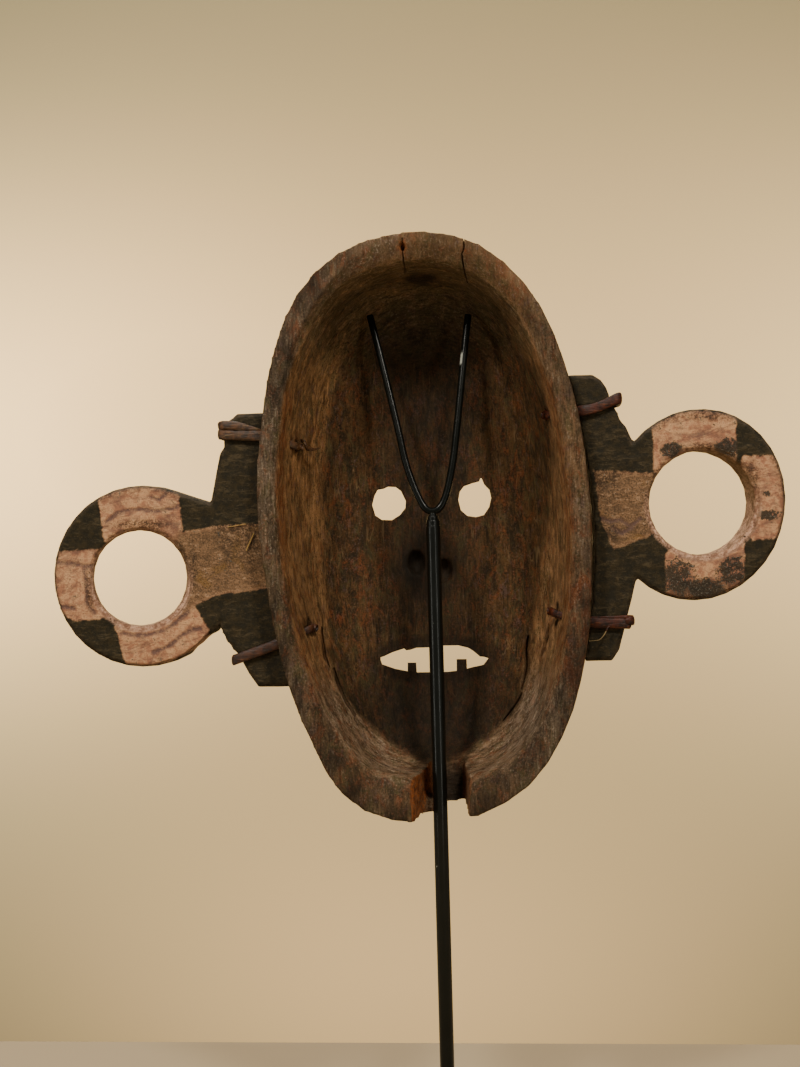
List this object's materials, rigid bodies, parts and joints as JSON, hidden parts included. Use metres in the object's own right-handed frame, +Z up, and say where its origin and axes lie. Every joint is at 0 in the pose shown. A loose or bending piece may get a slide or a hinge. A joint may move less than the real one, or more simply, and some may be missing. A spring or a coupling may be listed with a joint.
{
  "type": "boa mask",
  "caption": "Carved wooden Boa mask with open eyes and mouth and lashed ring ears, its hollow back hung on a forked steel museum stand with a flat foot.",
  "frame": {"origin": "centre of the stand's foot, on its underside", "axes": "+Z up, the mask's face looks along -Y, +X to the mask's own left"},
  "size_m": [0.5125, 0.17, 0.6486],
  "materials": {
    "carved_wood": "hand-adzed hardwood, worn and darkened, reddish brown inside, dark smoked face with worn ochre fields",
    "painted_wood": "wood with worn fields of pink-ochre and black earth paint, chipped along the edges",
    "cane": "old split cane, reddish brown, dusty and slightly glossy",
    "black_steel": "satin black paint with small chips"
  },
  "bodies": {
    "root": {"mask": "carved_wood", "ear_left": "painted_wood", "ear_right": "painted_wood", "lashing_left_upper": "cane", "lashing_left_lower": "cane", "lashing_right_upper": "cane", "lashing_right_lower": "cane", "stand_fork": "black_steel", "stand_rod": "black_steel", "stand_base": "black_steel"}
  },
  "joints": []
}
